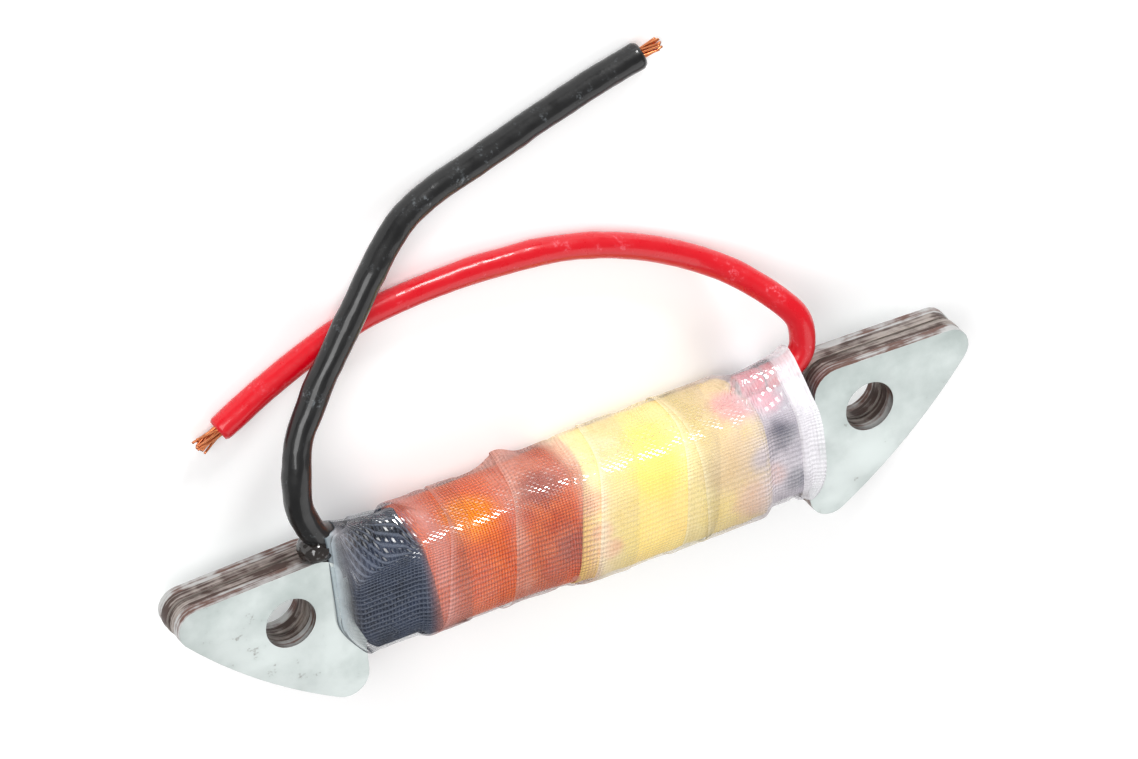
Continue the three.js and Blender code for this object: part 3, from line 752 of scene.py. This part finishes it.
def fromNodes(name, tree, values):
    # runs a node tree on an empty mesh and keeps its result as plain mesh
    empty = bpy.data.meshes.new(name)
    holder = linkObject(name, empty)
    modifier = holder.modifiers.new("maker", "NODES")
    modifier.node_group = tree
    for item in tree.interface.items_tree:
        if item.item_type == "SOCKET" and item.in_out == "INPUT" and item.name in values:
            modifier[item.identifier] = values[item.name]
    graph = bpy.context.evaluated_depsgraph_get()
    graph.update()
    mesh = bpy.data.meshes.new_from_object(holder.evaluated_get(graph))
    holder.modifiers.remove(modifier)
    holder.data = mesh
    mesh.name = name
    bpy.data.meshes.remove(empty)
    return holder


wireRadius = wireCoil["wire"] / 2
half = section["wireEnd"] - wireRadius
turns = 2 * half / wireCoil["wire"]
windingObject = fromNodes("enamelled_winding", windingTree(), {
    "Turns": turns,
    "Half length": half * mm,
    "Wire": wireRadius * wireCoil["overlap"] * mm,
    "Steps": int(turns * wireCoil["stepsPerTurn"]),
    "Middle": midZ,
    "Thin build": (section["thin"] - wireRadius) * mm,
    "Full build": (section["full"] - wireRadius) * mm,
    "Material": enamelWire,
})
finishPiece(windingObject, None, "enamelled_wire")

lowerLayers = {
    "stations": [-16.7, -16, -8, -5, -2, 0, 3, 16, 16.7],
    "below": 0.3,            # under the top of the outer wire
    "down": 3.4,
    "bore": (1.4, 1.2, 1.2),
}


def lowerSkin(x, theta, inside):
    # the wire below the top layer
    build = wireBuild(x) - lowerLayers["below"]
    return wrapPoint(x, theta, *(lowerLayers["bore"] if inside else (build, build, lowerLayers["down"])))


windingCore = sleeveObject("winding_lower_layers", lowerLayers["stations"], lowerSkin)
finishPiece(windingCore, enamelWire, "enamelled_wire", "winding")
print("winding ready")


# end collars, cover tape

collar = {
    "start": 17.2,
    "hookEnd": 22.6,         # where the hooks leave less room
    "leftEnd": 24.0,
    "rightEnd": 23.4,
    "slant": 1.2,            # of the left collar's inner edge
    "slantTurn": 0.62,
    "bore": (1.35, 1.1, 1.1),
    "rounding": 0.35,
    "overWire": 0.12,        # where it laps the winding, up to this x
    "lapEnd": 17.8,
    "lapRun": 0.6,
}


def collarObject(name, side):
    thick = section["leftCollar"] if side < 0 else section["rightCollar"]
    far = collar["leftEnd"] if side < 0 else collar["rightEnd"]
    slant = collar["slant"] if side < 0 else 0.0

    def skin(x, theta, inside):
        t = (np.abs(x) - collar["start"]) / (far - collar["start"])
        start = collar["start"] + slant * np.cos(theta + collar["slantTurn"])
        end = collar["hookEnd"] + (far - collar["hookEnd"]) * smooth(np.cos(theta), -0.75, -0.1)
        place = side * (start + t * (end - start))
        if inside:
            return wrapPoint(place, theta, *collar["bore"])
        over = smooth(collar["lapEnd"] - np.abs(place), 0, collar["lapRun"])
        build = thick + (wireBuild(place) + collar["overWire"] - thick) * over
        build = build - collar["rounding"] * smooth(t, 0.93, 1.0)
        return wrapPoint(place, theta, build, build, build)

    body, rim = np.linspace(collar["start"], far - 0.5, 12), np.linspace(far - 0.4, far, 6)
    return sleeveObject(name, [side * x for x in np.concatenate([body, rim])], skin)


for end, side, paper in (("left", -1, insulationPaper), ("right", 1, rightPaper)):
    made = collarObject(end + "_insulation_collar", side)
    finishPiece(made, paper, "insulation_paper", end + "_end_collar")

coverTape = {
    "start": -0.9,
    "end": 18.0,
    "wall": 0.1,
    "gap": 0.05,             # off the wire below
    "slant": 1.55,           # of the left edge
    "slantTurn": 0.62,
    "wrinkle": 0.06,
    "toCollar": (17.2, 17.9),
}


def coverObject():
    def skin(x, theta, inside):
        t = (x - coverTape["start"]) / (coverTape["end"] - coverTape["start"])
        place = x + coverTape["slant"] * np.cos(theta + coverTape["slantTurn"]) * (1 - t)
        build, onCollar = wireBuild(place), section["rightCollar"]
        build = build + (onCollar - build) * smooth(place, *coverTape["toCollar"]) + coverTape["gap"]
        waves = np.sin(place * 2.1 + 2 * np.sin(theta)) * np.sin(theta * 3 + place * 0.4)
        build = build + coverTape["wrinkle"] * waves
        down = section["full"] + coverTape["gap"]
        return wrapPoint(place, theta, build, build, down, 0.0 if inside else coverTape["wall"])

    stations = np.linspace(coverTape["start"], coverTape["end"], 60)
    return sleeveObject("yellow_film_tape", list(stations), skin, 128)


finishPiece(coverObject(), yellowFilm, "yellow_film", "yellow_cover_tape")
print("inner layers ready")


# outer tape: one helically wound strip

tapeWind = {
    "width": 12.4,
    "thickness": 0.09,
    "gap": 0.03,             # between one turn and the next
    "stepsPerTurn": 120,
    "across": 48,
    "startAngle": 2.9,
    "girth": 2 * math.pi * 6.6,
    # left edge of the strip after so many turns, in mm; both ends are wound square
    "turns": [0, 1.25, 2.31, 3.31, 4.31, 5.31, 5.6, 6.6],
    "leftEdge": [-25.6, -25.6, -14.2, -7.9, 0.7, 9.8, 10.8, 10.8],
    "ease": (-0.15, -0.08, 0, 0.08, 0.15),     # turns over which a change of lead is spread
    "hookPull": (2.8, 1.5),  # how far the left and right edges draw back at the hooks
    "leadPull": (1.5, 0.7),  # and at the leads
    "wrinkle": 0.035,
    "edgeCurl": 0.05,
    "edgeWidth": 0.5,
}
tapeSeat = {
    # how far above each layer the tape lies, in mm
    "overWire": 0.05,
    "overFilm": 0.2,
    "overFull": 0.25,
    "overLeft": 0.06,
    "overRight": 0.1,
    "overCore": 0.08,
    "toCollar": (17.1, 18.4),
    "toCore": (23.6, 25.5),
    "coreBuildY": 2.3,
    "coreShareY": 0.8,
}


def tapeLeftEdge(phi):
    # eased between the turns given
    turn = np.asarray(phi) / (2 * math.pi)
    total = 0
    for ease in tapeWind["ease"]:
        total = total + np.interp(turn + ease, tapeWind["turns"], tapeWind["leftEdge"])
    return total / len(tapeWind["ease"])


def fitEnds(x, theta):
    # draws the strip's two outer edges back where the hooks and the leads are
    atHooks = smooth(-np.cos(theta), 0.05, 0.95)
    atLeads = smooth(np.cos(theta), 0.55, 0.95)
    leftPull, rightPull = (hooks * atHooks + leads * atLeads
                           for hooks, leads in zip(tapeWind["hookPull"], tapeWind["leadPull"]))
    return x + smooth(-x, 20.5, 25.6) * leftPull - smooth(x, 20.5, 24.3) * rightPull


def tapeBuild(x, theta):
    filmEdge = coverTape["start"] + coverTape["slant"] * np.cos(theta + coverTape["slantTurn"])
    wire = wireBuild(x) + tapeSeat["overWire"] + tapeSeat["overFilm"] * smooth(x, filmEdge - 0.7, filmEdge)
    onCollar = np.where(x < 0, section["leftCollar"] + tapeSeat["overLeft"],
                        section["rightCollar"] + tapeSeat["overRight"])
    onCore = stackHalf + tapeSeat["overCore"] - section["flatZ"]
    toCollar, toCore = smooth(np.abs(x), *tapeSeat["toCollar"]), smooth(-x, *tapeSeat["toCore"])
    body = wire + (onCollar - wire) * toCollar
    buildUp = body + (onCore - body) * toCore
    buildY = body + (tapeSeat["coreBuildY"] - body) * toCore * tapeSeat["coreShareY"]
    level = section["full"] + tapeSeat["overFull"]
    buildDown = level + (onCollar - level) * toCollar
    return buildY, buildUp, buildDown + (onCore - buildDown) * toCore


def turnAway(theta, other):
    # shortest angle between the two
    return np.angle(np.exp(1j * (theta - other)))


def spotSum(spots, x, theta):
    # soft round spots over the wrapped surface: x, theta, size along, size around, strength
    total = 0 * x
    for atX, atTheta, sizeX, sizeTheta, strength in spots:
        around = turnAway(theta, atTheta) / sizeTheta
        total = total + strength * np.exp(-((x - atX) / sizeX) ** 2 - around ** 2)
    return total


tapeLumps = [
    # knots of wire and folds under the tape, heights in mm
    (-5.3, -0.45, 1.5, 0.55, 1.0),
    (-5.6, 0.35, 1.6, 0.5, 0.45),
    (-2.6, 0.25, 1.8, 0.45, 0.4),
    (9.4, 0.0, 1.1, 0.7, 0.3),
    (17.6, 0.5, 2.4, 0.5, 0.25),
]

mistSpots = [
    # folds, gathers and thin places of the varnish; a minus sign clears the mist
    (-24.2, 0.72, 1.1, 0.25, 1.6),
    (-24.8, 0.35, 0.9, 0.3, 1.1),
    (-15.2, 0.75, 0.8, 0.25, 0.3),
    (-25.3, 1.4, 0.9, 1.6, 0.7),
    (-15.6, 1.0, 1.3, 2.2, 0.95),
    (-12.4, 1.9, 2.0, 0.9, 0.35),
    (-5.0, 1.9, 3.0, 0.6, 0.3),
    (-10.6, 0.65, 1.6, 0.6, -0.25),
    (-8.6, 0.6, 0.9, 0.4, 0.4),
    (-7.6, 1.2, 0.8, 1.2, 0.6),
    (-5.3, -0.5, 2.4, 0.6, 0.9),
    (-6.4, 0.3, 1.5, 0.4, 0.6),
    (-3.0, 0.4, 1.6, 0.3, 0.8),
    (-2.6, 1.5, 2.2, 1.0, 0.08),
    (-0.2, 0.9, 1.5, 2.4, 0.75),
    (3.4, 0.2, 1.6, 0.6, 0.3),
    (6.8, 0.8, 2.4, 0.7, -0.15),
    (9.9, 1.2, 0.9, 1.5, 0.3),
    (14.5, 1.0, 2.0, 1.8, 0.15),
    (17.3, 1.6, 1.3, 0.9, 0.8),
    (17.6, 0.4, 1.6, 0.5, 0.4),
    (19.6, 0.95, 1.6, 0.34, -0.35),
    (20.0, 1.7, 2.0, 0.4, 0.4),
    (20.4, 0.4, 2.2, 0.4, 0.5),
]
tapeMist = {
    "bare": 0.05,            # over the dark collar
    "wire": 0.13,            # more over the wire, and more again over the film
    "film": 0.3,
    "litUpperEdgeMist": (0.28, -0.7, 0.55),      # strength, theta and size of the painted light along the upper edge: a whiter mist where the lamp falls on the top
    "most": 1.5,
    "selvage": 0.45,
    "rimWidth": 0.16,
    "covered": 0.75,         # share of the net and the mist lost under the next turn
    "wetTheta": 0.5,         # the band round the coil where the glints are
    "wetSize": 0.4,
}


def mistAt(x, theta):
    strength, atTheta, size = tapeMist["litUpperEdgeMist"]
    # painted light: whiter mist along the lit upper edge
    litUpperEdgeMist = strength * smooth(x, -17.5, -16) * np.exp(-(turnAway(theta, atTheta) / size) ** 2)
    overWire = tapeMist["wire"] * smooth(x, -18, -16.8)
    overFilm = tapeMist["film"] * smooth(x, -2.2, -0.2)
    total = tapeMist["bare"] + overWire + overFilm + litUpperEdgeMist + spotSum(mistSpots, x, theta)
    return np.clip(total, 0.0, tapeMist["most"])


def netAt(x):
    # the net is faint over the film, fuller again at the right end, and fades out on the left rim
    shown = 1 - 0.62 * smooth(x, -1.6, 0.6) + 0.12 * smooth(x, 13, 18)
    return shown * smooth(x, -25.0, -23.4) * (0.8 + 0.2 * smooth(x, -18, -17))


def bothSkins(outer, inner):
    # from the strip's one edge to the other outside, and back inside
    return np.concatenate([outer, inner[:, ::-1]], axis=1)


def makeOuterTape():
    turnsTotal, width, curl = tapeWind["turns"][-1], tapeWind["width"], tapeWind["edgeWidth"]
    steps = int(turnsTotal * tapeWind["stepsPerTurn"])
    phi = np.linspace(0, turnsTotal * 2 * math.pi, steps + 1)
    w = np.concatenate([[0, 0.1, 0.2], np.linspace(0.4, width, tapeWind["across"] - 2)])
    phiGrid, wGrid = np.meshgrid(phi, w, indexing="ij")
    theta = tapeWind["startAngle"] - phiGrid
    raw = tapeLeftEdge(phiGrid) + wGrid
    under = 0 * raw
    for back in (1, 2, 3):
        before = phiGrid - 2 * math.pi * back
        previousRight = tapeLeftEdge(np.maximum(before, 0)) + width
        under += smooth(previousRight - raw, -0.12, 0.12) * (before >= 0)
    covered = smooth(raw - tapeLeftEdge(phiGrid + 2 * math.pi), -0.1, 0.3)
    covered = covered * (phiGrid < (turnsTotal - 1) * 2 * math.pi)

    x = fitEnds(raw, theta)
    build = tapeBuild(x, theta)
    ripple = np.sin(raw * 1.7 + 1.3 * np.sin(theta * 2)) * np.sin(theta * 3 + phiGrid * 0.37)
    nearEdge = np.exp(-(wGrid / curl) ** 2)
    lift = np.minimum(under, 1) * (tapeWind["thickness"] + tapeWind["gap"]) + tapeWind["wrinkle"] * ripple
    lift = lift + tapeWind["edgeCurl"] * nearEdge + spotSum(tapeLumps, x, theta)
    outer = wrapPoint(x, theta, *build, lift + tapeWind["thickness"], leads=True)
    inner = wrapPoint(x, theta, *build, lift, leads=True)
    u, v = phiGrid / (2 * math.pi) * tapeWind["girth"] * mm, wGrid * mm
    uv = np.stack([bothSkins(u, u), bothSkins(v, v)], -1)
    obj = tubeMesh("woven_outer_tape", toRow(bothSkins(outer, inner)), uv.reshape(-1, 2))

    kept = 1 - tapeMist["covered"] * covered
    mist = (mistAt(x, theta) + tapeMist["selvage"] * nearEdge) * kept
    rim = (raw < tapeWind["leftEdge"][0] + 0.3) * np.exp(-(wGrid / tapeMist["rimWidth"]) ** 2)
    wetBand = np.exp(-(turnAway(theta, tapeMist["wetTheta"]) / tapeMist["wetSize"]) ** 4)
    wet = (1 - covered) * (0.05 + 0.95 * wetBand)
    for name, values in (("mist", mist), ("netting", netAt(x) * kept), ("rim", rim), ("wet", wet)):
        setPointValue(obj, name, bothSkins(values, values))
    setPointValue(obj, "skin", bothSkins(1 + 0 * mist, 0 * mist))
    middleLine = inner[:, tapeWind["across"] // 2]
    return obj, float(lengthsAlong(middleLine)[-1])


outerTape, tapeLength = makeOuterTape()
finishPiece(outerTape, glassCloth, "glass_cloth_tape", "outer_glass_tape")
outerTape.visible_shadow = False       # wet glass cloth lets the light through to the layers below
print("outer tape ready, strip length in mm:", round(tapeLength, 1))


# cuff: the last turn folded back on itself at the right end

cuff = {
    "start": 21.2,
    "end": 23.4,
    "hookPull": 1.1,
    "leadPull": 0.2,
    "seat": 0.28,            # above the collar
    "wall": 0.14,
    "flare": 0.5,
    "roll": (0.22, 0.2, 0.14),          # height, place and size of the rolled hem
    "wave": 0.06,
    "threads": (6.9, 2.5),   # mm of weave round and along it
    "look": {"netting": 0.3, "rim": 0.0, "wet": 0.25},
    "mist": (1.3, 0.2),      # at its start, and how much it gains
}


def makeCuff():
    stations = np.linspace(0, 1, 14)
    there = np.concatenate([stations, stations[::-1]])
    theta = np.linspace(0, 2 * math.pi, 128, endpoint=False)
    end = cuff["end"] - cuff["hookPull"] * smooth(-np.cos(theta), 0.05, 0.95)
    end = end - cuff["leadPull"] * smooth(np.cos(theta), 0.5, 0.95)
    onOutside = np.arange(len(there)) < len(stations)

    def skin(t, wall):
        x = cuff["start"] + t * (end - cuff["start"])
        body = section["rightCollar"] + cuff["seat"] + 0 * x
        rollHeight, rollPlace, rollSize = cuff["roll"]
        roll = rollHeight * math.exp(-((t - rollPlace) / rollSize) ** 2)
        lift = cuff["flare"] * t ** 2.4 + roll + cuff["wave"] * np.sin(5 * theta + 1) * t + wall
        return wrapPoint(x, theta, body, body, body, lift, leads=True)

    rings = np.array([skin(t, cuff["wall"] * outside) for t, outside in zip(there, onOutside)])
    around, along = cuff["threads"]
    uv = [(a * around * mm, t * along * mm) for t in there for a in theta]
    obj = tubeMesh("folded_tape_cuff", toRow(rings), uv, closedLoop=True)
    mist = cuff["mist"][0] + cuff["mist"][1] * there
    setPointValue(obj, "mist", np.repeat(mist, len(theta)))
    setPointValue(obj, "skin", np.repeat(onOutside, len(theta)))
    for name, value in cuff["look"].items():
        setPointValue(obj, name, np.full(len(obj.data.vertices), value))
    return obj


cuffObject = finishPiece(makeCuff(), glassCloth, "glass_cloth_tape", "tape_cuff")
cuffObject.visible_shadow = False


# varnish bead at the root of the black lead

bead = {"place": (-26.2, 5.95, 0.9), "size": (1.55, 1.25, 1.75), "sag": 0.3, "wobble": 0.16}


def makeBead():
    work = bmesh.new()
    bmesh.ops.create_icosphere(work, subdivisions=4, radius=1)
    for v in work.verts:
        wobble = 1 + bead["wobble"] * noise.noise(v.co * 1.9 + Vector((3, 1, 7)))
        wide, deep, high = bead["size"]
        wide = wide + bead["sag"] * max(0, -v.co.y)
        v.co = toRow(np.array(bead["place"]) + np.array([wide, deep, high]) * v.co * wobble)
    return objectFromWork("lead_root_varnish", work)


finishPiece(makeBead(), setVarnish, "set_varnish", "black_lead_varnish_bead")

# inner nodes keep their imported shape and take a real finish
inside = {
    "core_insulation_sleeve": insulationPaper,
    "winding_start_tail": enamelWire,
    "winding_finish_tail": enamelWire,
    "black_lead_solder_joint": solderTin,
    "red_lead_solder_joint": solderTin,
    "black_joint_sleeve": blackSleeving,
    "red_joint_sleeve": redSleeving,
}
for node, material in inside.items():
    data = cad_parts[node].data
    data.materials.clear()
    data.materials.append(material)
print("trim ready")


# stage

table = {"reach": 3.0, "color": "#f7f7f7", "glow": 0.12}
lights = {
    # place, size, watts
    "key": ((0.26, 0.72, 0.24), 0.2, 4.4),
    "fill": ((-0.45, 0.30, 0.55), 0.42, 3.4),
    "panel": ((0.30, -0.45, 0.62), 0.7, 2.0),
}
lightAim = Vector((0, 0, 0.005))
skyStrength = 0.42


def makeFloor():
    reach = table["reach"]
    corners = [(-reach, -reach, 0), (reach, -reach, 0), (reach, reach, 0), (-reach, reach, 0)]
    floor = meshObject("floor", corners, [(0, 1, 2, 3)])
    material, tree, _ = newMaterial("pale_table")
    shader = addNode(tree, "BsdfPrincipled", {
        "Base Color": hexColor(table["color"]), "Roughness": 0.9, "Specular IOR Level": 0.1,
        "Emission Color": (1, 1, 1, 1), "Emission Strength": table["glow"]})
    addNode(tree, "OutputMaterial", (shader,))
    floor.data.materials.append(material)


makeFloor()
for name, (place, size, power) in lights.items():
    lightData = bpy.data.lights.new(name, "AREA")
    lightData.size = size
    lightData.energy = power
    lamp = linkObject(name, lightData)
    lamp.location = place
    lamp.rotation_euler = (lightAim - Vector(place)).to_track_quat("-Z", "Y").to_euler()

world = bpy.data.worlds.new("studio")
world.use_nodes = True
world.node_tree.nodes.clear()
sky = addNode(world.node_tree, "Background", {"Color": (1, 1, 1, 1), "Strength": skyStrength})
addNode(world.node_tree, "OutputWorld", (sky,))
bpy.context.scene.world = world
bpy.context.scene.view_settings.view_transform = "Standard"
print("stage ready")
